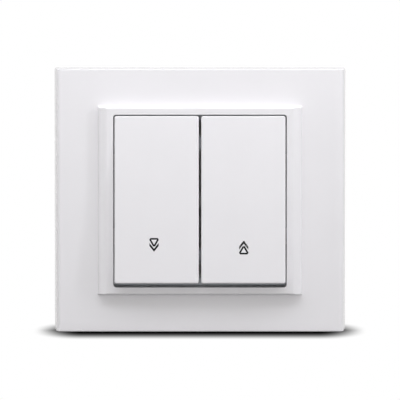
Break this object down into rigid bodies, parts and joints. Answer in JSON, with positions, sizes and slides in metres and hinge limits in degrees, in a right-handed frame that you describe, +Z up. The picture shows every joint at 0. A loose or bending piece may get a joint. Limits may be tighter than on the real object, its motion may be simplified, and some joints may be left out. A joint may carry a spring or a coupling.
{
  "type": "roller shutter switch",
  "caption": "Flush wall switch for a roller shutter: tall down and up rockers side by side in a wide cover frame with a raised border.",
  "frame": {"origin": "middle of the fixing-screw pattern, on the wall's face", "axes": "+X to the right and +Z up as the switch hangs, +Y into the wall"},
  "size_m": [0.09, 0.0366, 0.0814],
  "materials": {
    "frame_plastic": "satin white thermoplastic",
    "rocker_plastic": "satin white thermoplastic",
    "lever_plastic": "natural moulded",
    "cover_plastic": "moulded off-white",
    "housing_plastic": "moulded light grey",
    "plated_steel": "zinc plated",
    "spring_steel": "drawn wire",
    "brass": "stamped and turned",
    "silver": "fine silver tip"
  },
  "bodies": {
    "housing": {"cover_frame": "frame_plastic", "bearing_cover": "cover_plastic", "support_ring": "plated_steel", "base_housing": "housing_plastic", "cover_screws": "plated_steel", "pivot_pin": "spring_steel", "return_spring_down": "spring_steel", "return_spring_up": "spring_steel", "feed_bar": "brass", "link_bar": "brass", "fixed_contact_down": "brass", "fixed_contact_up": "brass", "fixed_contact_tips": "silver", "terminal_down": "brass", "terminal_up": "brass", "terminal_feed": "brass", "terminal_loop": "brass", "terminal_screws": "plated_steel"},
    "down_key": {"rocker_down": "rocker_plastic", "lever_down": "lever_plastic", "plunger_down": "lever_plastic", "plunger_spring_down": "spring_steel"},
    "up_key": {"rocker_up": "rocker_plastic", "lever_up": "lever_plastic", "plunger_up": "lever_plastic", "plunger_spring_up": "spring_steel"},
    "down_seesaw": {"moving_contact_down": "brass", "moving_tips_down": "silver"},
    "up_seesaw": {"moving_contact_up": "brass", "moving_tips_up": "silver"},
    "left_claw": {"claw_left": "plated_steel"},
    "right_claw": {"claw_right": "plated_steel"},
    "left_claw_screw": {"claw_screw_left": "plated_steel"},
    "right_claw_screw": {"claw_screw_right": "plated_steel"},
    "left_claw_nut": {"claw_nut_left": "plated_steel"},
    "right_claw_nut": {"claw_nut_right": "plated_steel"}
  },
  "joints": [
    {"name": "down_press", "type": "hinge", "parent": "housing", "child": "down_key", "pos_m": [-0.0095, -0.0042, 0], "axis": [1, 0, 0], "range_deg": [0, 8], "stiffness_Nm_per_rad": 0.1, "springref_deg": -17.19, "deforming": ["return_spring_down"]},
    {"name": "up_press", "type": "hinge", "parent": "housing", "child": "up_key", "pos_m": [0.0095, -0.0042, 0], "axis": [1, 0, 0], "range_deg": [0, 8], "stiffness_Nm_per_rad": 0.1, "springref_deg": -17.19, "deforming": ["return_spring_up"]},
    {"name": "down_contact", "type": "hinge", "parent": "housing", "child": "down_seesaw", "pos_m": [-0.0095, 0.0066, 0], "axis": [1, 0, 0], "range_deg": [-16.1, 0]},
    {"name": "up_contact", "type": "hinge", "parent": "housing", "child": "up_seesaw", "pos_m": [0.0095, 0.0066, 0], "axis": [1, 0, 0], "range_deg": [-16.1, 0]},
    {"name": "left_claw_turn", "type": "hinge", "parent": "housing", "child": "left_claw_screw", "pos_m": [-0.0216, 0, 0], "axis": [0, 1, 0], "range_deg": [0, 2251]},
    {"name": "right_claw_turn", "type": "hinge", "parent": "housing", "child": "right_claw_screw", "pos_m": [0.0216, 0, 0], "axis": [0, 1, 0], "range_deg": [0, 2251]},
    {"name": "left_claw_swing", "type": "hinge", "parent": "housing", "child": "left_claw", "pos_m": [-0.0252, -0.0005, 0], "axis": [0, 0, 1], "range_deg": [0, 11.6]},
    {"name": "right_claw_swing", "type": "hinge", "parent": "housing", "child": "right_claw", "pos_m": [0.0252, -0.0005, 0], "axis": [0, 0, -1], "range_deg": [0, 11.6]},
    {"name": "left_nut_slide", "type": "slide", "parent": "housing", "child": "left_claw_nut", "axis": [0, -1, 0], "range_m": [0, 0.005]},
    {"name": "right_nut_slide", "type": "slide", "parent": "housing", "child": "right_claw_nut", "axis": [0, -1, 0], "range_m": [0, 0.005]}
  ],
  "couplings": [
    {"joint": "down_contact", "follows": "down_press", "ratio": -2},
    {"joint": "up_contact", "follows": "up_press", "ratio": -2},
    {"joint": "left_claw_turn", "follows": "left_nut_slide", "rad_per_m": 7854},
    {"joint": "right_claw_turn", "follows": "right_nut_slide", "rad_per_m": 7854},
    {"joint": "left_claw_swing", "follows": "left_nut_slide", "rad_per_m": 40.143},
    {"joint": "right_claw_swing", "follows": "right_nut_slide", "rad_per_m": 40.143}
  ]
}
